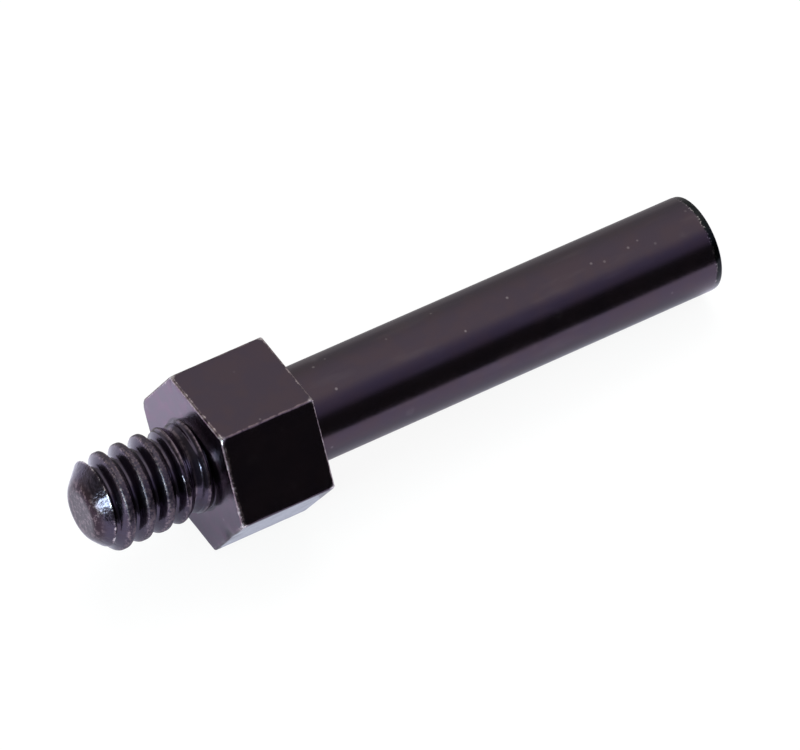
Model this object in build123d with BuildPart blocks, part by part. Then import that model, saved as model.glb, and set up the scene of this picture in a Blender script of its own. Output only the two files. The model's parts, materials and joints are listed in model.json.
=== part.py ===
from build123d import *
import os
from math import asin, atan2, cos, hypot, radians, sin, tan

# A one-piece steel mandrel: a threaded stud with a coned point, a hexagonal body to hold it by,
# and a plain round shank. Millimetres, +Z up. It lies on a table as it comes to rest, so that
# its axis dips a little towards the end of the shank. The origin is on the table, under the
# middle of the whole part, and +X runs from the stud towards the shank.

# Driving dimensions of the shank
shank_diameter = 4.76
shank_length = 22.85
shank_lead_length = 0.25
shank_lead_depth = 0.06
shank_root_radius = 0.15

# Driving dimensions of the hexagonal body
hex_sides = 6
hex_across_flats = 7.75
hex_length = 5.0
hex_edge_radius = 0.12

# Driving dimensions of the stud and its left-hand thread, which has 24 turns to the inch
stud_length = 5.95
tip_flat_diameter = 2.6
tip_cone_angle = 90.0
thread_major_diameter = 4.62
thread_pitch = 25.4 / 24
thread_flank_angle = 60.0
thread_crest_width = 0.28
thread_root_radius = 0.16
thread_entry_length = 1.0
thread_runout_length = 0.8
thread_plain_length = 0.1
groove_overcut = 0.3

# Radii and lengths that follow from the driving dimensions
shank_radius = shank_diameter / 2
shank_end = hex_length + shank_length
shank_end_radius = shank_radius - shank_lead_depth
hex_apothem = hex_across_flats / 2
tip_flat_radius = tip_flat_diameter / 2
thread_major_radius = thread_major_diameter / 2
tip_cone_length = (thread_major_radius - tip_flat_radius) / tan(radians(tip_cone_angle / 2))

# The groove's section: a V in what the crests leave of each pitch, with its point rounded off
half_flank_angle = radians(thread_flank_angle / 2)
groove_width = thread_pitch - thread_crest_width
groove_point_depth = groove_width / 2 / tan(half_flank_angle)
groove_depth = groove_point_depth - (thread_root_radius / sin(half_flank_angle) - thread_root_radius)

# The groove starts clear of the tip, in the direction of the upper flat, and how far off it starts
# sets its place around the stud. It ends inside the body, past the run-out.
groove_start = -(stud_length + thread_entry_length)
groove_end = thread_pitch / 2

# The run-out cone lifts the groove's root from full depth to none. Its apex is on the axis and
# its base is inside the body, where the stud's bar meets the shank's.
bar_step = hex_length / 2
runout_slope = groove_depth / thread_runout_length
runout_apex = -thread_plain_length - thread_major_radius / runout_slope
runout_base_radius = (bar_step - runout_apex) * runout_slope

# The rest pose. The part is heavier towards the shank, so it tips until the lower flat's rear
# edge and the lead at the end of the shank both touch the table.
heel_run = shank_end - shank_lead_length - (hex_length - hex_edge_radius)
heel_drop = hex_apothem - hex_edge_radius - shank_radius
rest_tilt = atan2(heel_drop, heel_run) + asin(hex_edge_radius / hypot(heel_run, heel_drop))

# Where the middle of the body's front face stands over the origin
tip_reach = stud_length * cos(rest_tilt) + tip_flat_radius * sin(rest_tilt)
shank_reach = shank_end * cos(rest_tilt) + shank_end_radius * sin(rest_tilt)
face_x = (tip_reach - shank_reach) / 2
face_z = ((hex_length - hex_edge_radius) * sin(rest_tilt)
          + (hex_apothem - hex_edge_radius) * cos(rest_tilt) + hex_edge_radius)

# The body's two end faces. Their normals run along the axis towards the shank, and their X
# direction points out of the upper flat.
front_face = Plane(
    origin=(face_x, 0, face_z),
    x_dir=(sin(rest_tilt), 0, cos(rest_tilt)),
    z_dir=(cos(rest_tilt), 0, -sin(rest_tilt)),
)
rear_face = front_face.offset(hex_length)

# A plane through the axis for turned outlines: X runs along the axis and Y is the radius
turning_plane = Plane(origin=front_face.origin, x_dir=front_face.z_dir, z_dir=front_face.y_dir)
turning_axis = Axis(front_face.origin, front_face.z_dir)

# The groove's path, and the plane of its section at the path's start, where Y is the radius
groove_plane = front_face.offset(groove_start)
groove_path = groove_plane * Helix(
    thread_pitch, groove_end - groove_start, thread_major_radius, lefthand=True
)
groove_section_plane = Plane(
    origin=groove_plane.from_local_coords((thread_major_radius, 0, 0)),
    x_dir=-groove_plane.z_dir,
    z_dir=-groove_plane.y_dir,
)

# Hexagonal body, with every edge broken by a small radius
with BuildPart() as body:
    with BuildSketch(front_face):
        RegularPolygon(hex_apothem, hex_sides, major_radius=False, rotation=180 / hex_sides)
    extrude(amount=hex_length)
    fillet(body.edges(), hex_edge_radius)

# Thread groove, less the run-out cone
with BuildPart() as groove:
    with BuildSketch(groove_section_plane) as groove_section:
        with BuildLine():
            Polyline(
                (-groove_width / 2, groove_overcut),
                (-groove_width / 2, 0),
                (0, -groove_point_depth),
                (groove_width / 2, 0),
                (groove_width / 2, groove_overcut),
                close=True,
            )
        make_face()
        fillet(groove_section.vertices().sort_by(Axis.Y)[0], thread_root_radius)
    sweep(path=groove_path, is_frenet=True)
    with BuildSketch(turning_plane):
        with BuildLine():
            Polyline((runout_apex, 0), (bar_step, runout_base_radius), (bar_step, 0), close=True)
        make_face()
    revolve(axis=turning_axis, mode=Mode.SUBTRACT)

# The whole mandrel: stud and shank turned from one bar, the thread cut in it, and the body
with BuildPart() as mandrel:
    with BuildSketch(turning_plane):
        with BuildLine():
            Polyline(
                (-stud_length, 0),
                (-stud_length, tip_flat_radius),
                (-stud_length + tip_cone_length, thread_major_radius),
                (bar_step, thread_major_radius),
                (bar_step, shank_radius),
                (shank_end - shank_lead_length, shank_radius),
                (shank_end, shank_end_radius),
                (shank_end, 0),
                close=True,
            )
        make_face()
    revolve(axis=turning_axis)
    add(groove.part, mode=Mode.SUBTRACT)
    add(body.part)
    shank_root = mandrel.edges().filter_by(GeomType.CIRCLE).sort_by_distance(rear_face.origin)[0]
    fillet(shank_root, shank_root_radius)

mandrel.part.label = "mandrel"

os.makedirs("parts", exist_ok=True)
export_step(mandrel.part, "parts/mandrel.step")
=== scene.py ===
# %% [markdown]
# # A threaded mandrel in black oxide
#
# The real object is turned from one bar of steel: a left-hand threaded stud with a coned point,
# a hexagonal body for a spanner, and a plain ground shank. It lies on a white sheet, tipped by a
# few degrees, because the hexagon is thicker than the shank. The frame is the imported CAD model.
# Everything below is measured from it, so the finished piece lies exactly where the solid lies.

# %% Load the frame
import json
from math import cos, pi, radians, sin, tan

import bmesh
import bpy
from mathutils import Matrix, Vector, noise

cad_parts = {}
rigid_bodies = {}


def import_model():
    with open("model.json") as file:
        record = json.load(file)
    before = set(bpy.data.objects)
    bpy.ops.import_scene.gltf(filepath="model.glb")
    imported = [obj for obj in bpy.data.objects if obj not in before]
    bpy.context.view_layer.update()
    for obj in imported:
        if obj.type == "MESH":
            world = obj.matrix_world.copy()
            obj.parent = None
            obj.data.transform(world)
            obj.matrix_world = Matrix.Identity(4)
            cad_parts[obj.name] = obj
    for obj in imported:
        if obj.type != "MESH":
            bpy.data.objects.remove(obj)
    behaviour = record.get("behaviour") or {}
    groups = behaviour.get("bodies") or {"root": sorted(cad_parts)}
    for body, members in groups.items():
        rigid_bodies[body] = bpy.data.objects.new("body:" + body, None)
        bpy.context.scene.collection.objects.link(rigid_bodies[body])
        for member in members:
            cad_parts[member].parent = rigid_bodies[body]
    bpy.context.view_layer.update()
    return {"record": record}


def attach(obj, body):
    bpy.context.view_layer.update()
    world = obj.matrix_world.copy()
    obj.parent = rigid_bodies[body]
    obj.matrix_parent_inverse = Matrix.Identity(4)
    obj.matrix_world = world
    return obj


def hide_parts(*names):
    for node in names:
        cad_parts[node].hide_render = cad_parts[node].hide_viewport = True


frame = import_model()
MM = 0.001

# %% [markdown]
# ## Reading the part's own axis from its record
#
# The record states each place where another part fits. The shank's mount gives the axis and the
# radius, the spanner's flat gives the direction in which the upper flat faces, and the face
# behind the hub gives the start of the body. From these come a *turning frame*: X runs along the
# axis from the front face of the body towards the shank, and Z comes out of the upper flat. The
# piece is modelled in millimetres in that frame, which is how a turner would see it, and is then
# put in its place in one step.

# %% Turning frame
mounts = {mount["name"]: mount for mount in frame["record"]["mounts"]}
axis_direction = Vector(mounts["shank"]["axis"])
flat_direction = Vector(mounts["spanner_flat"]["axis"])
shank_middle = Vector(mounts["shank"]["pos_m"])
flat_middle = Vector(mounts["spanner_flat"]["pos_m"])

face_offset = (Vector(mounts["front_face"]["pos_m"]) - shank_middle).dot(axis_direction)
face_centre = shank_middle + axis_direction * face_offset
rest_tilt = flat_direction.angle(Vector((0, 0, 1)))

shank_radius = mounts["shank"]["dims"]["r_mm"]
thread_radius = mounts["stud"]["dims"]["r_mm"]
hex_apothem = (flat_middle - face_centre).dot(flat_direction) / MM
hex_length = 2 * (flat_middle - face_centre).dot(axis_direction) / MM
shank_wall_end = -face_offset / MM + mounts["shank"]["dims"]["length_mm"] / 2

to_row_frame = (
    Matrix.Translation(face_centre)
    @ Matrix.Rotation(rest_tilt, 4, "Y")
    @ Matrix.Scale(MM, 4)
)
print("tilt %.2f degrees, flats %.2f mm apart" % (rest_tilt * 180 / pi, 2 * hex_apothem))

# %% [markdown]
# ## A camera with a long lens
#
# The photograph is taken from far off, so parallel edges stay almost parallel. A long lens far
# away gives that. The camera is placed by the angles at which it looks at the part.

# %% Camera
camera_azimuth = radians(-122.372)
camera_elevation = radians(50.130)
camera_roll = radians(-0.205)
camera_distance = 0.38396
camera_target = Vector((0.000036, -0.000515, 0.004))
camera_lens = 373.1

away = Vector((
    cos(camera_elevation) * cos(camera_azimuth),
    cos(camera_elevation) * sin(camera_azimuth),
    sin(camera_elevation),
))
camera_data = bpy.data.cameras.new("camera")
camera_data.lens = camera_lens
camera_data.sensor_width = 36.0
camera_data.clip_start = 0.01
camera = bpy.data.objects.new("camera", camera_data)
camera.location = camera_target + away * camera_distance
level_view = (-away).to_track_quat("-Z", "Y").to_matrix().to_4x4()
camera.rotation_euler = (level_view @ Matrix.Rotation(camera_roll, 4, "Z")).to_euler()
bpy.context.scene.collection.objects.link(camera)
bpy.context.scene.camera = camera
print("camera at", [round(c, 4) for c in camera.location])

# %% [markdown]
# ## Node trees as Python expressions
#
# The thread below and the finish at the end are both written as sums, so both are easier to read
# as expressions than as lists of nodes. `Field` wraps one output socket. Adding or multiplying
# two of them adds a Math node, and `Field.node` adds any other kind of node.

# %% Field
class Field:
    """One output socket of a node tree, for use in Python expressions."""

    def __init__(self, tree, socket):
        self.tree = tree
        self.socket = socket

    @classmethod
    def node(cls, tree, kind, settings=None, inputs=None, output=0):
        """Adds a node: its settings first, then the values or links of its inputs."""
        item = tree.nodes.new(kind)
        for name, value in (settings or {}).items():
            if name == "stops":
                cls.set_stops(item.color_ramp, value)
            else:
                setattr(item, name, value)
        for key, value in (inputs or {}).items():
            if isinstance(value, cls):
                tree.links.new(value.socket, item.inputs[key])
            else:
                item.inputs[key].default_value = value
        return cls(tree, item.outputs[output])

    @staticmethod
    def set_stops(ramp, stops):
        """Gives a colour ramp its stops, as pairs of place and colour."""
        while len(ramp.elements) < len(stops):
            ramp.elements.new(0.5)
        for element, (place, colour) in zip(ramp.elements, stops):
            element.position = place
            element.color = colour

    def other(self, output):
        """Another output of the same node."""
        return Field(self.tree, self.socket.node.outputs[output])

    def into(self, kind, key):
        """Ends the tree with an output node, fed by this socket."""
        end = self.tree.nodes.new(kind)
        self.tree.links.new(self.socket, end.inputs[key])

    def math(self, operation, *others):
        values = dict(enumerate((self, *others)))
        return Field.node(self.tree, "ShaderNodeMath", {"operation": operation}, values)

    def swapped(self, operation, other):
        values = {0: other, 1: self}
        return Field.node(self.tree, "ShaderNodeMath", {"operation": operation}, values)

    def __add__(self, other):
        return self.math("ADD", other)

    def __radd__(self, other):
        return self.swapped("ADD", other)

    def __sub__(self, other):
        return self.math("SUBTRACT", other)

    def __rsub__(self, other):
        return self.swapped("SUBTRACT", other)

    def __mul__(self, other):
        return self.math("MULTIPLY", other)

    def __rmul__(self, other):
        return self.swapped("MULTIPLY", other)

    def __truediv__(self, other):
        return self.math("DIVIDE", other)

    def __neg__(self):
        return self.math("MULTIPLY", -1.0)

    def least(self, other, blend=0.0):
        """The smaller of two values, with the corner between them rounded by blend."""
        return self.math("SMOOTH_MIN", other, blend) if blend else self.math("MINIMUM", other)

    def most(self, other, blend=0.0):
        """The larger of two values, with the corner between them rounded by blend."""
        return self.math("SMOOTH_MAX", other, blend) if blend else self.math("MAXIMUM", other)

    def ramp(self, low, high, to_low=0.0, to_high=1.0):
        """A smooth step: to_low where the value is under low, and to_high where it is over high."""
        return Field.node(
            self.tree,
            "ShaderNodeMapRange",
            {"interpolation_type": "SMOOTHSTEP"},
            {"Value": self, 1: low, 2: high, 3: to_low, 4: to_high},
        )


# %% [markdown]
# ## The threaded stud
#
# A thread is a groove wound round a bar. It could be a profile swept along a helix and cut from
# a cylinder, as in CAD, but a flat sheet rolled into a tube does it with no cutting at all: every
# point of the sheet has a distance along the bar and an angle round it, and its radius is worked
# out from those two. Shearing the sheet by one pitch per turn makes its columns follow the
# helix, so the crests stay crisp. The part of the sheet that passes an end is folded in towards
# the axis and closes it.
#
# A real thread has no sharp corners. The crests are rounded a little, and more so near the body,
# where the die has worn them. Over the last turn and a half the die's teeth also leave a *neck*:
# the bar is a little thinner there, with two shallow ridges to each turn of the thread.

# %% Sizes of the stud
stud_length = 5.95
stud_inside_body = 0.6
tip_flat_radius = 1.3
tip_cone_angle = radians(90.0)
thread_pitch = 25.4 / 24
thread_start = -(stud_length + 1.0)
thread_hand = -1.0
thread_half_flank = radians(30.0)
thread_crest_width = 0.28
thread_root_radius = 0.16
thread_runout_length = 0.8
thread_plain_length = 0.1
thread_corner = 0.03  # the rounding wherever two cuts meet
crest_rounding = 0.16
worn_crest_rounding = 0.08  # comes on top of it near the body
worn_crest_from = -2.8
worn_crest_to = -1.8
nose_rounding = 0.40
neck_depth = 0.08
neck_length = 1.5
neck_fade = 0.15
neck_ripple = 1.5  # by this share the neck is deeper between its ridges
columns_per_pitch = 34
rows_per_turn = 176
weld_distance = 0.0005  # points that lie closer than this become one

groove_half_width = (thread_pitch - thread_crest_width) / 2
groove_point = groove_half_width / tan(thread_half_flank)
root_centre = groove_point - thread_root_radius / sin(thread_half_flank)
groove_depth = root_centre + thread_root_radius
print("groove %.3f mm deep and %.3f mm wide" % (groove_depth, 2 * groove_half_width))


# %% Tree of the threaded stud
def new_tree(name, floats):
    """A Geometry Nodes tree with named inputs: a material and some numbers."""
    tree = bpy.data.node_groups.new(name, "GeometryNodeTree")
    tree.is_modifier = True
    tree.interface.new_socket("Geometry", in_out="OUTPUT", socket_type="NodeSocketGeometry")
    tree.interface.new_socket("Finish", in_out="INPUT", socket_type="NodeSocketMaterial")
    for socket_name, value in floats.items():
        socket = tree.interface.new_socket(
            socket_name, in_out="INPUT", socket_type="NodeSocketFloat"
        )
        socket.default_value = value
    return tree


def thread_tree():
    tree = new_tree("threaded_stud", {
        "Length": stud_length,
        "Major Radius": thread_radius,
        "Pitch": thread_pitch,
        "Start": thread_start,
        "Tip Flat Radius": tip_flat_radius,
        "Runout Length": thread_runout_length,
    })
    given = Field.node(tree, "NodeGroupInput", output="Finish")
    length = given.other("Length")
    major = given.other("Major Radius")
    pitch = given.other("Pitch")

    # The sheet: columns along the bar, rows round it
    fold = thread_radius + thread_pitch
    sheet_from = -(stud_length + fold)
    sheet_to = stud_inside_body + fold
    columns = round((sheet_to - sheet_from) / thread_pitch * columns_per_pitch)
    sheet = Field.node(tree, "GeometryNodeMeshGrid", inputs={
        "Size X": columns * thread_pitch / columns_per_pitch,
        "Size Y": 1.0,
        "Vertices X": columns + 1,
        "Vertices Y": rows_per_turn + 1,
    })
    place = Field.node(tree, "GeometryNodeInputPosition")
    split = Field.node(tree, "ShaderNodeSeparateXYZ", inputs={0: place})
    turn = split.other("Y") + 0.5
    column = split.other("X") + (sheet_from + sheet_to) / 2
    along = column + turn * pitch * thread_hand

    # Distance from the middle of the nearest groove, and how far the groove is cut there
    phase = (column - given.other("Start")) / pitch
    aside = (phase - phase.math("ROUND")).math("ABSOLUTE") * pitch
    flank = (groove_half_width - aside) / tan(thread_half_flank)
    root = root_centre + (thread_root_radius ** 2 - aside * aside).most(0.0).math("SQRT")
    rounding = along.ramp(
        worn_crest_from, worn_crest_to, crest_rounding, crest_rounding + worn_crest_rounding
    )
    cut = flank.least(root).most(0.0, rounding)

    # The run-out lifts the groove's root back to the full diameter in front of the body
    left = -along - thread_plain_length
    limit = (left / given.other("Runout Length") * groove_depth).most(0.0)
    radius = major - cut.least(limit, thread_corner)

    # The neck, which is deepest between its ridges
    neck = (along + neck_length).ramp(-neck_fade, neck_fade, 0.0, neck_depth)
    between_ridges = 1.0 - (phase * (4 * pi)).math("COSINE")
    neck = neck * (1.0 + between_ridges * (neck_ripple / 2))
    radius = radius.least(major - neck, thread_corner)

    # The coned point, then the folds. A fold shrinks towards the axis and is held at its end.
    cone = given.other("Tip Flat Radius") + (along + length) * tan(tip_cone_angle / 2)
    radius = radius.least(cone, thread_corner)
    behind = (along - stud_inside_body).most(0.0)
    radius = (radius - behind).most(0.0)
    held = along.most(-length, nose_rounding).least(stud_inside_body)

    angle = turn * (2 * pi)
    rolled = Field.node(tree, "ShaderNodeCombineXYZ", inputs={
        "X": held,
        "Y": -(radius * angle.math("SINE")),
        "Z": radius * angle.math("COSINE"),
    })
    rolled_sheet = Field.node(
        tree, "GeometryNodeSetPosition", inputs={"Geometry": sheet, "Position": rolled}
    )
    closed = Field.node(
        tree, "GeometryNodeMergeByDistance",
        inputs={"Geometry": rolled_sheet, "Distance": weld_distance},
    )
    # Rolled this way, the sheet has its back outside, so its faces are turned
    outwards = Field.node(tree, "GeometryNodeFlipFaces", inputs={"Mesh": closed})
    real = Field.node(tree, "GeometryNodeRealizeInstances", inputs={0: outwards})
    finished = Field.node(
        tree, "GeometryNodeSetMaterial", inputs={"Geometry": real, "Material": given}
    )
    finished.into("NodeGroupOutput", 0)
    return tree


def from_tree(name, tree, values):
    """Runs a tree on an empty mesh and returns its result as a plain mesh."""
    holder = bpy.data.objects.new(name, bpy.data.meshes.new(name))
    bpy.context.scene.collection.objects.link(holder)
    modifier = holder.modifiers.new(name, "NODES")
    modifier.node_group = tree
    for item in tree.interface.items_tree:
        if item.in_out == "INPUT" and item.name in values:
            modifier[item.identifier] = values[item.name]
    graph = bpy.context.evaluated_depsgraph_get()
    mesh = bpy.data.meshes.new_from_object(holder.evaluated_get(graph))
    holder.modifiers.remove(modifier)
    bpy.data.objects.remove(holder)
    return mesh


black_oxide = bpy.data.materials.new("black_oxide_steel")
stud_mesh = from_tree("stud", thread_tree(), {"Finish": black_oxide})
print("stud:", len(stud_mesh.vertices), "vertices,", len(stud_mesh.polygons), "faces")

# %% [markdown]
# ## The hexagonal body
#
# The hexagon is milled on the bar, and its edges are broken by handling. Rounding a shape by a
# radius is the same as shrinking it by that radius and then pushing every point outwards along
# its own normal by as much. That is done here ring by ring, because it leaves a grid that is
# fine at the edges, where the wear is, and it lets the radius vary from place to place, as on
# the real edge. Three of the front corners have had a knock, and one of the lower front edges is
# a little flatter.

# %% Sizes of the body
hex_sides = 6
edge_radius = 0.12
flat_steps = 44
corner_steps = 8
edge_steps = 8
cap_steps = 12
side_steps = 48
edge_wobble = 0.018
edge_wobble_scale = 2.1
edge_wobble_reach = 1.6 * edge_radius
knocks = [
    # place along the axis, angle round it in degrees, depth, reach
    (0.0, -30.0, 0.045, 0.34),
    (0.0, -90.0, 0.060, 0.36),
    (0.0, 30.0, 0.060, 0.36),
    (0.0, 116.0, 0.036, 0.80),
]


# %% Hexagonal body
def spread(count, bunch=0.12):
    """Steps from 0 to 1, with one extra step close to each end to keep the flat shaded flat."""
    even = [i / count for i in range(count + 1)]
    return [0.0, bunch / count] + even[1:-1] + [1 - bunch / count, 1.0]


def hexagon_ring():
    """Points of the shrunken hexagon, with the outward normal at each, once round."""
    core = hex_apothem - edge_radius
    half_flat = core * tan(pi / hex_sides)
    ring = []
    for side in range(hex_sides):
        facing = side * 2 * pi / hex_sides
        normal = Vector((0, -sin(facing), cos(facing)))
        along = Vector((0, -cos(facing), -sin(facing)))
        for step in spread(flat_steps):
            ring.append((normal * core + along * half_flat * (2 * step - 1), normal))
        for step in range(1, corner_steps):
            turned = facing + step / corner_steps * 2 * pi / hex_sides
            corner = normal * core + along * half_flat
            ring.append((corner, Vector((0, -sin(turned), cos(turned)))))
    return ring


def body_profile():
    """(place along the axis, share of the core, share of the normal, axial normal) per ring."""
    front = [(0.0, share, 0.0, -1.0) for share in spread(cap_steps)[1:]]
    rounding = []
    for step in range(1, edge_steps):
        angle = step / edge_steps * pi / 2
        rounding.append((edge_radius, 1.0, sin(angle), -cos(angle)))
    side_from = edge_radius
    side_to = hex_length - edge_radius
    side = [(side_from + (side_to - side_from) * s, 1.0, 1.0, 0.0) for s in spread(side_steps)]
    rear_rounding = [(hex_length - u, c, n, -a) for u, c, n, a in reversed(rounding)]
    rear = [(hex_length, c, n, -a) for u, c, n, a in reversed(front)]
    return front, rounding, side, rear_rounding, rear


def wear_at(point):
    """How far the metal is worn back at a point of the body, in millimetres."""
    across = sorted(
        abs(point.z * cos(facing) - point.y * sin(facing))
        for facing in (0, pi / 3, 2 * pi / 3)
    )
    from_flat = hex_apothem - across[2]
    from_corner = hex_apothem - across[1]
    from_end = min(point.x, hex_length - point.x)
    from_edge = max(from_flat, min(from_corner, from_end))
    near_edge = max(0.0, 1 - from_edge / edge_wobble_reach) ** 2
    worn_and_painted_highlight = edge_wobble * near_edge * (1 + noise.noise(point * edge_wobble_scale))
    for place, degrees_round, depth, reach in knocks:
        facing = radians(degrees_round)
        from_middle = facing - round(facing / (pi / 3)) * pi / 3
        out = hex_apothem / cos(from_middle)
        spot = Vector((place, -out * sin(facing), out * cos(facing)))
        distance = (point - spot).length / reach
        worn_and_painted_highlight += depth * max(0.0, 1 - distance ** 2) ** 2
    return worn_and_painted_highlight


def make_body():
    ring = hexagon_ring()
    front, rounding, side, rear_rounding, rear = body_profile()
    profile = front + rounding + side + rear_rounding + rear
    mesh = bmesh.new()
    rows = []
    for place, share, reach, axial in profile:
        on_rounding = reach > 0.0
        row = []
        for core, normal in ring:
            outward = normal * reach + Vector((axial, 0, 0))
            point = Vector((place, 0, 0)) + core * share
            if on_rounding:
                point += outward * edge_radius
            row.append(mesh.verts.new(point - outward.normalized() * wear_at(point)))
        rows.append(row)
    count = len(ring)
    for row, above in zip(rows, rows[1:]):
        for i in range(count):
            j = (i + 1) % count
            mesh.faces.new((row[i], row[j], above[j], above[i]))
    mesh.faces.new(rows[0])
    mesh.faces.new(reversed(rows[-1]))
    bmesh.ops.remove_doubles(mesh, verts=mesh.verts, dist=weld_distance)
    bmesh.ops.recalc_face_normals(mesh, faces=mesh.faces)
    result = bpy.data.meshes.new("body")
    mesh.to_mesh(result)
    mesh.free()
    return result


body_mesh = make_body()
print("body:", len(body_mesh.vertices), "vertices,", len(body_mesh.polygons), "faces")

# %% [markdown]
# ## The shank
#
# The shank is ground, so it is as plain as a shape can be: a profile spun round the axis. Its
# root has the small radius that the tool leaves. Its end has a light lead, which turns ever more
# steeply towards the end face.

# %% Sizes of the shank
shank_lead_length = 0.25
shank_root_radius = 0.15
shank_root_overlap = 0.004
shank_inside_body = 0.4
shank_end = shank_wall_end + shank_lead_length
shank_turn_steps = 192
arc_steps = 6
wall_shares = (0.001, 0.25, 0.5, 0.75, 0.999)
shank_lead = [
    # back from the end face, down from the full radius
    (0.248, 0.001), (0.080, 0.016), (0.040, 0.024), (0.018, 0.036), (0.005, 0.052), (0.0, 0.070),
]


# %% Shank
def make_shank():
    root_from = hex_length - shank_root_overlap
    flare = shank_radius + shank_root_radius
    profile = [(hex_length - shank_inside_body, 0), (hex_length - shank_inside_body, flare)]
    for step in range(arc_steps + 1):
        angle = step / arc_steps * pi / 2
        profile.append((
            root_from + shank_root_radius * (1 - cos(angle)),
            flare - shank_root_radius * sin(angle),
        ))
    wall_from = profile[-1][0]
    wall = shank_wall_end - wall_from
    profile += [(wall_from + wall * share, shank_radius) for share in wall_shares]
    profile += [(shank_end - back, shank_radius - down) for back, down in shank_lead]
    profile += [(shank_end, shank_radius / 2), (shank_end, 0)]
    mesh = bmesh.new()
    line = [mesh.verts.new((along, 0, radius)) for along, radius in profile]
    edges = [mesh.edges.new(pair) for pair in zip(line, line[1:])]
    bmesh.ops.spin(
        mesh, geom=line + edges, cent=(0, 0, 0), axis=(1, 0, 0), angle=2 * pi,
        steps=shank_turn_steps, use_merge=True,
    )
    bmesh.ops.remove_doubles(mesh, verts=mesh.verts, dist=weld_distance)
    bmesh.ops.recalc_face_normals(mesh, faces=mesh.faces)
    result = bpy.data.meshes.new("shank")
    mesh.to_mesh(result)
    mesh.free()
    return result


shank_mesh = make_shank()
print("shank:", len(shank_mesh.vertices), "vertices,", len(shank_mesh.polygons), "faces")

# %% [markdown]
# ## One piece of metal
#
# The three forms still pass through each other. A Boolean union makes them one closed skin, as
# on the real part, so that nothing hides inside. Then the skin is shaded smooth, apart from the
# edges that really are sharp, and is put in its place.

# %% Union
sharp_angle = radians(32.0)


def as_object(name, mesh):
    holder = bpy.data.objects.new(name, mesh)
    bpy.context.scene.collection.objects.link(holder)
    return holder


mandrel = as_object("mandrel_body", body_mesh)
for name, mesh in (("stud_form", stud_mesh), ("shank_form", shank_mesh)):
    tool = as_object(name, mesh)
    joint = mandrel.modifiers.new(name, "BOOLEAN")
    joint.operation = "UNION"
    joint.solver = "MANIFOLD"
    joint.object = tool
graph = bpy.context.evaluated_depsgraph_get()
whole = bpy.data.meshes.new_from_object(mandrel.evaluated_get(graph))
mandrel.modifiers.clear()
mandrel.data = whole
for name in ("stud_form", "shank_form"):
    bpy.data.objects.remove(bpy.data.objects[name])

whole.transform(to_row_frame)
whole.shade_smooth()
whole.set_sharp_from_angle(angle=sharp_angle)
whole.materials.clear()
whole.materials.append(black_oxide)
for face in whole.polygons:
    face.material_index = 0
print("mandrel:", len(whole.vertices), "vertices,", len(whole.polygons), "faces")

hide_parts("mandrel")
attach(mandrel, "root")

# %% [markdown]
# ## Black oxide
#
# Black oxide is a thin, dark, slightly brown skin on steel. It reflects as metal does, but only
# weakly where it is seen straight on and much more at a grazing angle, which is why the lowest
# flat looks almost white. A metallic shader with a very dark base colour does just that. The
# skin is a little uneven, and it has rubbed through to bright steel along the rims of the
# hexagon and on the crests of the thread. A texture painted by hand could show that, but it
# would need an unwrapped surface. The distance to the nearest edge can be worked out from the
# position instead, as long as the shader knows the turning frame too. From here on, a *mask* is
# a value that is 1 where something shows and 0 where it doesn't.

# %% Colours, and the position in the turning frame
oxide_colour = (0.0590, 0.0450, 0.0590, 1)
warm_oxide_colour = (0.0640, 0.0465, 0.0570, 1)
blue_oxide_colour = (0.0640, 0.0530, 0.0740, 1)
# The faced colours: the turned faces' own pinkish tone, raised further as painted reflection of a
# floor brighter than white
faced_tone_and_sheen_colour = (0.126, 0.095, 0.128, 1)
pink_faced_tone_and_sheen_colour = (0.150, 0.092, 0.135, 1)
# Painted shade: the colour of a dark reflection painted on the lead at the end of the shank
painted_dark_band_colour = (0.010, 0.012, 0.013, 1)
nose_colour = (0.036, 0.023, 0.029, 1)
worn_colour = (0.36, 0.27, 0.28, 1)
steel_colour = (0.62, 0.56, 0.56, 1)

black_oxide.use_nodes = True
finish = black_oxide.node_tree
finish.nodes.clear()


def shader(kind, settings=None, inputs=None, output=0):
    return Field.node(finish, kind, settings, inputs, output)


def blend(share, first, second):
    """A colour between two others."""
    return shader(
        "ShaderNodeMix", {"data_type": "RGBA"}, {0: share, 6: first, 7: second}, output=2
    )


def cloud(scale, detail=2.0, seed=0.0):
    """Noise in the turning frame, from 0 to 1 around 0.5. The scale is in spots per millimetre."""
    moved = shader("ShaderNodeVectorMath", {"operation": "ADD"}, {0: place, 1: (seed, seed, seed)})
    return shader(
        "ShaderNodeTexNoise", None, {"Vector": moved, "Scale": scale, "Detail": detail}
    )


object_place = shader("ShaderNodeTexCoord", output="Object")
place = shader("ShaderNodeMapping", {"vector_type": "TEXTURE"}, {
    "Vector": object_place,
    "Location": face_centre,
    "Rotation": (0, rest_tilt, 0),
    "Scale": (MM, MM, MM),
})
split = shader("ShaderNodeSeparateXYZ", None, {0: place})
along = split
across = split.other("Y")
up = split.other("Z")
radius = (across * across + up * up).math("SQRT")
print("turning frame of the finish starts at", [round(c, 5) for c in face_centre])

# %% [markdown]
# Every edge is a place where two walls meet. With the distances to the nearest flat, to the next
# flat and to the nearer end face, the one in the middle says how far the nearest edge is.

# %% Distance to the edges of the hexagon
cos_60 = cos(pi / 3)
sin_60 = sin(pi / 3)
flats = [
    up.math("ABSOLUTE"),
    (up * cos_60 - across * sin_60).math("ABSOLUTE"),
    (up * cos_60 + across * sin_60).math("ABSOLUTE"),
]
highest = flats[0].most(flats[1]).most(flats[2])
lowest = flats[0].least(flats[1]).least(flats[2])
middle = flats[0] + flats[1] + flats[2] - highest - lowest
from_flat = hex_apothem - highest
from_corner = (hex_apothem - middle) / sin_60
from_end = along.least(hex_length - along)
from_rim = from_flat.most(from_end)
from_long_edge = from_flat.most(from_corner)
on_body = along.ramp(-0.03, -0.01) * (hex_length - along).ramp(-0.03, -0.01)
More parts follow.
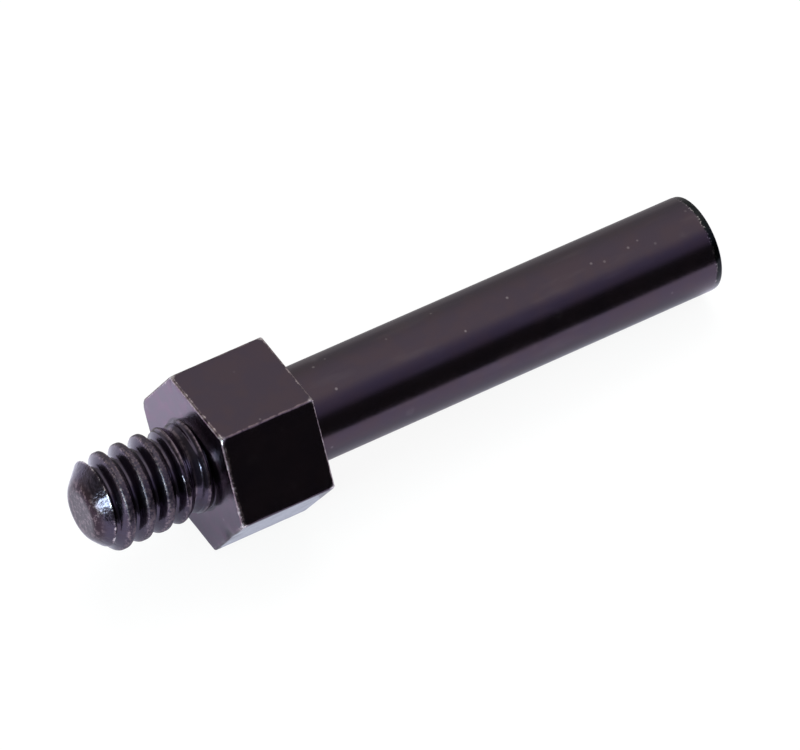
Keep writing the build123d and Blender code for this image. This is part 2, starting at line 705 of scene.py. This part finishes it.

# The two faces that the tool has cut across the bar, at the hub and at the end of the shank; their
# lighter colour is partly their own tone and partly painted reflection
hub_face = along.math("ABSOLUTE").ramp(0.008, 0.03, 1.0, 0.0)
hub_face = hub_face * (radius - thread_radius).ramp(0.0, 0.02)
faced_end = (along - shank_end).ramp(-0.03, -0.01)
faced_tone_and_sheen = faced_end.most(hub_face)
print("distances to the edges: %d nodes so far" % len(finish.nodes))

# %% [markdown]
# Wear starts at an edge and reaches in from it, further in some places than in others. So each
# mask compares the distance to the edge with a reach that clouds of noise make uneven. The rims
# are worn most, mainly on the upper half, where hands and spanners get at them. At the corners,
# where two rims and a long edge meet, the metal is bare.

# %% Wear on the body
coarse = cloud(0.9, seed=3.0)
fine = cloud(4.5, detail=3.0, seed=11.0)
grain = cloud(11.0, detail=2.0, seed=7.0)

upper = up.ramp(1.0, 2.5)
above_middle = up.ramp(-1.0, -0.2)
# The part of the front rims that faces the camera
hub_side = (-across).ramp(1.6, 2.6) * along.ramp(0.5, 1.0, 1.0, 0.0)

rim_reach = coarse * 0.14 + fine * 0.18 - 0.055 + hub_side * 0.05
rim_wear = (from_rim - rim_reach).ramp(-0.04, 0.03, 1.0, 0.0) * on_body
rim_wear = rim_wear * (0.12 + above_middle * 0.88)
edge_reach = coarse * 0.08 + fine * 0.14 - 0.040
edge_wear = (from_long_edge - edge_reach).ramp(-0.03, 0.03, 1.0, 0.0) * on_body * upper
corner_wear = (from_rim + from_long_edge).ramp(0.16, 0.42, 1.0, 0.0) * on_body * above_middle
beads = rim_wear * fine.ramp(0.50, 0.62)
print("wear on the body: rims, long edges, corners and beads")

# %% [markdown]
# The thread wears on its crests and on the edge where it starts on the cone. That edge isn't a
# plain circle, and it is found from the same sum that shaped the sheet: it lies where the flank
# of the groove and the cone have the same radius.

# %% Wear on the stud
on_stud = along.ramp(-0.03, 0.0, 1.0, 0.0)
crest = (thread_radius - radius).ramp(0.02, 0.10, 1.0, 0.0)
nose = (along + stud_length).ramp(0.05, 0.45, 1.0, 0.0)
nose_wear = nose * (fine * 0.8 + grain * 0.4).ramp(0.58, 0.74)

turn = (-across).math("ARCTAN2", up) / (2 * pi)
phase = (along - thread_start) / thread_pitch - turn * thread_hand
aside = (phase - phase.math("ROUND")).math("ABSOLUTE") * thread_pitch
flank_radius = thread_radius - (groove_half_width - aside) / tan(thread_half_flank)
cone_radius = tip_flat_radius + (along + stud_length) * tan(tip_cone_angle / 2)
from_ridge = (flank_radius - cone_radius.least(thread_radius)).math("ABSOLUTE")
ridge = from_ridge.ramp(0.04, 0.22, 1.0, 0.0) * along.ramp(-1.6, -1.2, 1.0, 0.0)
ridge_wear = ridge * (grain * 0.8 + fine * 0.4).ramp(0.56, 0.72)
on_cone = (cone_radius - thread_radius).ramp(-0.12, 0.0, 1.0, 0.0)
cone_base = on_cone * (radius - thread_radius).ramp(-0.60, -0.40)

# Painted highlight: worn colour on the lit side of the neck's ridges, and extra crest wear on the
# side where the window stands, to brighten their glints
painted_neck_highlight = ((phase + 0.06) * (4 * pi)).math("COSINE").ramp(0.55, 1.0) * on_stud
painted_neck_highlight = painted_neck_highlight * (along + neck_length).ramp(-0.45, -0.15) * fine.ramp(0.35, 0.55)
window_side = (-across - up * 0.3).ramp(0.6, 1.8)
crest_wear_and_painted_highlight = crest * on_stud * (grain.ramp(0.50, 0.72) + window_side * fine.ramp(0.48, 0.60))
print("wear on the stud: crests, nose, start of the thread and neck")

# %% [markdown]
# All of it comes together as two masks. Where it is *worn* the oxide is thin and the steel shows
# through as a warm grey, and where it is *bare* there is nothing left of it. The worn mask also
# carries painted highlight on the lit side of the neck's ridges and on the crests by the window.

# %% Worn with painted highlights, bare, and the painted dark band at the shank's end
worn_and_painted_highlight = (rim_wear * 0.62).most(edge_wear * 0.38).most(ridge_wear * 0.55).most(nose_wear * 0.32)
worn_and_painted_highlight = worn_and_painted_highlight.most(crest_wear_and_painted_highlight * 0.30).most(painted_neck_highlight * 0.30)
worn_and_painted_highlight = worn_and_painted_highlight * fine.ramp(0.30, 0.50, 0.35, 1.0)
bare = (corner_wear * fine.ramp(0.36, 0.52, 0.3, 1.0)).most(beads * (0.35 + hub_side * 0.25))
bare = bare.most(ridge * cone_base * fine.ramp(0.50, 0.60) * 0.7)

# Painted shade: the lead at the end of the shank is darkened, a painted reflection of a dark
# surrounding beyond its end
band_width = 0.33
past_band = along - (shank_end - band_width)
painted_dark_band = (past_band - fine * 0.12 + 0.06).ramp(-0.04, 0.04) * (1.0 - faced_end)
band_specks = past_band.math("ABSOLUTE").ramp(0.03, 0.09, 1.0, 0.0) * grain.ramp(0.54, 0.64)
print("dark band: the last %.2f mm of the shank" % band_width)

# %% [markdown]
# Dust lies here and there: one speck in a cell of a Voronoi texture, and none in the cells that
# draw a low number. The smudges are the same with larger and softer spots, and the streaks are
# noise drawn out along the shank, as a rag leaves them.

# %% Dust, smudges and streaks
dust_cells_per_mm = 1.1
smudge_cells_per_mm = 0.55
streak_stretch = (0.30, 1.8, 1.8)


def cells(per_mm):
    """Distance to the middle of the nearest cell of a Voronoi texture."""
    return shader("ShaderNodeTexVoronoi", None, {"Vector": place, "Scale": per_mm}, "Distance")


dust_cells = cells(dust_cells_per_mm)
dust_pick = shader("ShaderNodeSeparateColor", None, {0: dust_cells.other("Color")})
dust = dust_cells.ramp(0.045, 0.10, 1.0, 0.0) * dust_pick.math("GREATER_THAN", 0.35)
dust = dust * dust_pick.other("Green").ramp(0.0, 1.0, 0.25, 1.0)
smudge_cells = cells(smudge_cells_per_mm)
smudge_pick = shader("ShaderNodeSeparateColor", None, {0: smudge_cells.other("Color")})
smudge = smudge_cells.ramp(0.05, 0.22, 1.0, 0.0) * smudge_pick.math("GREATER_THAN", 0.35)
smudge = smudge * fine.ramp(0.35, 0.6)
drawn_out = shader(
    "ShaderNodeVectorMath", {"operation": "MULTIPLY"}, {0: place, 1: streak_stretch}
)
streaks = shader("ShaderNodeTexNoise", None, {"Vector": drawn_out, "Scale": 1.0, "Detail": 3.0})
streaks = streaks.ramp(0.50, 0.72) * (along - hex_length).ramp(0.0, 0.5)
print("dust, smudges and streaks: %d nodes so far" % len(finish.nodes))

# %% [markdown]
# The colours are laid over each other from the skin up to the bare steel. Worn metal is rougher
# than the skin, and lies a hair lower. The stud isn't ground like the rest, and its cone is
# pitted, which breaks up the glint of the window.

# %% Colour, roughness and bump
skin_roughness = 0.17
worn_roughness = 0.16  # comes on top of the skin's
stud_relief = 1.6
plain_relief = 0.2
pit_depth = 7.0
wear_depth = 0.5
bump_strength = 0.3
bump_distance = 0.012 * MM

colour = blend(coarse.ramp(0.35, 0.65), oxide_colour, warm_oxide_colour)
on_thread = on_stud * (1.0 - nose)
colour = blend(on_thread * fine.ramp(0.30, 0.55, 0.30, 1.0), colour, blue_oxide_colour)
colour = blend(nose, colour, nose_colour)
faced_tone_and_sheen_mix = blend(cloud(1.6, seed=5.0).ramp(0.40, 0.66), faced_tone_and_sheen_colour, pink_faced_tone_and_sheen_colour)
# Painted reflection, partly their own tone: the faced ends are lighter
colour = blend(faced_tone_and_sheen, colour, faced_tone_and_sheen_mix)
# Painted shade: the dark band at the shank's end
colour = blend(painted_dark_band, colour, painted_dark_band_colour)
colour = blend((dust * 0.22).most(smudge * 0.07).most(streaks * 0.018), colour, steel_colour)
# The worn colour, which also paints the highlights on the neck's ridges and the window-side crests
colour = blend(worn_and_painted_highlight, colour, worn_colour)
colour = blend(bare.most(band_specks * 0.4), colour, steel_colour)
# This also holds the painted highlights, which get rougher along with the wear
wear = worn_and_painted_highlight.most(bare)
roughness = skin_roughness + coarse.ramp(0.3, 0.7) * 0.03 + fine.ramp(0.3, 0.8) * 0.03
roughness = roughness + wear * worn_roughness
roughness = roughness + crest * on_stud * fine.ramp(0.30, 0.55, 0.10, 0.34)

pits = fine * on_cone * (1.0 - nose)
relief = (fine * 0.4 + grain * 0.6) * (on_stud * stud_relief + plain_relief)
relief = relief + pits * pit_depth - wear * wear_depth
bump = shader("ShaderNodeBump", None, {
    "Height": relief, "Strength": bump_strength, "Distance": bump_distance,
})
surface = shader("ShaderNodeBsdfPrincipled", None, {
    "Base Color": colour,
    "Metallic": 1.0,
    "Roughness": roughness,
    "Normal": bump,
})
surface.into("ShaderNodeOutputMaterial", "Surface")
print("finish:", len(finish.nodes), "nodes")

# %% [markdown]
# ## A white sheet and a light tent
#
# Metal shows what stands around it, so most of the look is made here. The floor and the room are
# white to the camera, and the floor keeps a soft shadow. In reflections the room is a light
# tent, brighter overhead than at its foot. Cards stand in it that only reflections see, as a
# photographer sets them up just outside the picture.

# %% Stage
upright = Matrix.Rotation(pi / 2, 4, "X")
lying = Matrix.Identity(4)


def new_material(name):
    material = bpy.data.materials.new(name)
    material.use_nodes = True
    material.node_tree.nodes.clear()
    return material


def plain_sheet(name, half_width, half_height, centre, facing, material):
    """A flat rectangle of the stage, which isn't attached to the object."""
    sheet = bpy.data.meshes.new(name)
    corners = [(-half_width, -half_height, 0), (half_width, -half_height, 0),
               (half_width, half_height, 0), (-half_width, half_height, 0)]
    sheet.from_pydata(corners, [], [(0, 1, 2, 3)])
    sheet.transform(Matrix.Translation(centre) @ facing)
    sheet.materials.append(material)
    item = as_object(name, sheet)
    return item


def ray_share(tree, camera_share, mirror_share):
    """A factor that differs between rays from the camera, from reflections and from the rest."""
    camera_ray = Field.node(tree, "ShaderNodeLightPath", output="Is Camera Ray")
    glossy = camera_ray.other("Is Glossy Ray")
    glass = camera_ray.other("Is Transmission Ray")
    return camera_ray * camera_share + glossy.most(glass) * mirror_share


floor_reach = 3.0
paper_white = (0.90, 0.90, 0.90, 1)
paper_in_mirror = (0.86, 0.83, 1.00, 1)
glow_to_camera = 0.90
glow_in_mirror = 0.15
white_sheet = new_material("white_sheet")
tree = white_sheet.node_tree
mirror_ray = Field.node(tree, "ShaderNodeLightPath", output="Is Glossy Ray")
paper_tone = Field.node(
    tree, "ShaderNodeMix", {"data_type": "RGBA"},
    {0: mirror_ray, 6: paper_white, 7: paper_in_mirror}, output=2,
)
paper = Field.node(tree, "ShaderNodeBsdfDiffuse", None, {"Color": paper_tone})
white = Field.node(tree, "ShaderNodeEmission", None, {"Color": (1, 1, 1, 1), "Strength": 1.0})
glow_share = ray_share(tree, glow_to_camera, glow_in_mirror)
mixed = Field.node(tree, "ShaderNodeMixShader", None, {0: glow_share, 1: paper, 2: white})
mixed.into("ShaderNodeOutputMaterial", "Surface")
plain_sheet("floor", floor_reach, floor_reach, Vector(), lying, white_sheet)
print("floor: white to the camera, paper to everything else")

# %% [markdown]
# The dark card stands in front, where the photographer does. It gives the black flat of the body
# and the black band along the shank, and it gets lighter upwards, so the upper half of the shank
# shades off. It has to stop short of the left, where the light of the window comes past it.

# %% Dark card
card_height = 0.070
card_distance = 0.017
card_from = -0.046
card_to = 0.150
card_stops = [
    (0.00, (0.045, 0.045, 0.045, 1)),
    (0.19, (0.060, 0.060, 0.062, 1)),
    (0.27, (0.40, 0.38, 0.55, 1)),
    (0.41, (0.52, 0.51, 0.74, 1)),
    (0.72, (0.88, 0.88, 1.00, 1)),
    (1.00, (0.98, 0.98, 1.00, 1)),
]

card_material = new_material("dark_card")
tree = card_material.node_tree
card_place = Field.node(tree, "ShaderNodeTexCoord", output="Object")
height = Field.node(tree, "ShaderNodeSeparateXYZ", None, {0: card_place}, "Z") / card_height
tone = Field.node(tree, "ShaderNodeValToRGB", {"stops": card_stops}, {0: height})
glow = Field.node(tree, "ShaderNodeEmission", None, {"Color": tone, "Strength": 1.0})
glow.into("ShaderNodeOutputMaterial", "Surface")
card = plain_sheet(
    "dark_card", (card_to - card_from) / 2, card_height / 2,
    Vector(((card_from + card_to) / 2, -card_distance, card_height / 2)), upright, card_material,
)
print("dark card %.0f mm high, %.0f mm in front" % (card_height / MM, card_distance / MM))

# %% [markdown]
# Four plain cards do the rest. The side card covers the left end of the dark card, whose lighter
# upper part would turn the crests grey. The low card and the ground card lie behind the piece
# and keep the far side of the shank from glaring. The paper slip under the body lightens its
# lowest flat, which would otherwise mirror the floor in the body's own shadow.

# %% Plain cards
side_card_gap = 0.001  # so much nearer the piece than the dark card, which it covers
over_floor = 0.00001


def plain_glow(name, colour):
    """A material that is one flat colour of light."""
    material = new_material(name)
    glow = Field.node(
        material.node_tree, "ShaderNodeEmission", None, {"Color": colour, "Strength": 1.0}
    )
    glow.into("ShaderNodeOutputMaterial", "Surface")
    return material


side_card = plain_sheet(
    "side_card", half_width=0.014, half_height=0.030,
    centre=Vector((-0.032, side_card_gap - card_distance, 0.030)), facing=upright,
    material=plain_glow("side_card", (0.09, 0.09, 0.12, 1)),
)
low_card = plain_sheet(
    "low_card", half_width=0.060, half_height=0.004,
    centre=Vector((0.048, 0.020, 0.004)), facing=upright,
    material=plain_glow("low_card", (0.48, 0.46, 0.48, 1)),
)
ground_card = plain_sheet(
    "ground_card", half_width=0.060, half_height=0.0078,
    centre=Vector((0.048, 0.0122, over_floor)), facing=lying,
    material=plain_glow("ground_card", (0.36, 0.34, 0.36, 1)),
)
slip = plain_sheet(
    "paper_slip", half_width=0.00265, half_height=0.003,
    centre=Vector((-0.0081, -0.0015, over_floor)), facing=lying,
    material=plain_glow("paper_slip", (0.78, 0.83, 1.0, 1)),
)
for item in (card, side_card, low_card, ground_card, slip):
    for kind in ("camera", "diffuse", "transmission", "volume_scatter", "shadow"):
        setattr(item, "visible_" + kind, False)
    print("seen only in reflections:", item.name)

# %% [markdown]
# The tent is brighter overhead than at its foot, and brightest straight above. Its left side is
# the other way round: light low down, where the white table goes on, and dark above. What lights
# the floor is one plain tone, so the shadow stays soft and neutral.

# %% Light tent
tent_at_foot = 0.50
tent_above = 1.06
tent_overhead = 0.26
left_at_foot = 0.85
left_above = 0.17
tent_for_floor = 1.00

tent = bpy.data.worlds.new("light_tent")
bpy.context.scene.world = tent
tent.use_nodes = True
tree = tent.node_tree
tree.nodes.clear()
direction = Field.node(tree, "ShaderNodeTexCoord", output="Generated")
ahead = Field.node(tree, "ShaderNodeSeparateXYZ", None, {0: direction}, "X")
rise = ahead.other("Z")
glossy = Field.node(tree, "ShaderNodeLightPath", output="Is Glossy Ray")
glass = glossy.other("Is Transmission Ray")
seen = glossy.other("Is Camera Ray")
whole_tent = rise.ramp(0.0, 0.86, tent_at_foot, tent_above)
whole_tent = whole_tent + rise.ramp(0.88, 0.98, 0.0, tent_overhead)
left_side = rise.ramp(0.15, 0.50, left_at_foot, left_above).most(rise.ramp(0.80, 0.97))
share_left = ahead.ramp(-0.50, -0.10, 1.0, 0.0)
in_mirror = whole_tent + (left_side - whole_tent) * share_left
strength = seen + (1 - seen) * (
    glossy.most(glass) * in_mirror + (1 - glossy.most(glass)) * tent_for_floor
)
sky = Field.node(tree, "ShaderNodeBackground", None, {"Color": (1, 1, 1, 1), "Strength": strength})
sky.into("ShaderNodeOutputWorld", "Surface")
print("light tent: %d nodes" % len(tree.nodes))

# %% [markdown]
# One small window of light, low at the left, gives the glint on the cone, on the crests and on
# the corners. A large soft lamp overhead lights the floor and casts the shadow. The metal
# doesn't see that one, because the tent already gives it its upper light.

# %% Lamps
def window(name, toward, distance, width, height, power, colour=(1, 1, 1)):
    """A rectangular lamp in a direction from the part, facing it."""
    data = bpy.data.lights.new(name, "AREA")
    data.shape = "RECTANGLE"
    data.size = width
    data.size_y = height
    data.energy = power
    data.color = colour
    lamp = bpy.data.objects.new(name, data)
    lamp.location = Vector(toward).normalized() * distance
    lamp.rotation_euler = (-lamp.location).to_track_quat("-Z", "Y").to_euler()
    bpy.context.scene.collection.objects.link(lamp)
    print("lamp:", name, "at", [round(c, 3) for c in lamp.location])
    return lamp


window(
    "left_window", toward=(-0.910, -0.215, 0.340), distance=0.20, width=0.050, height=0.042,
    power=0.20, colour=(0.66, 0.97, 0.98),
)
overhead = window(
    "overhead", toward=(0.30, 0.45, 0.85), distance=0.40, width=0.30, height=0.20, power=0.9
)
overhead.visible_glossy = False
bpy.context.scene.view_settings.view_transform = "Standard"
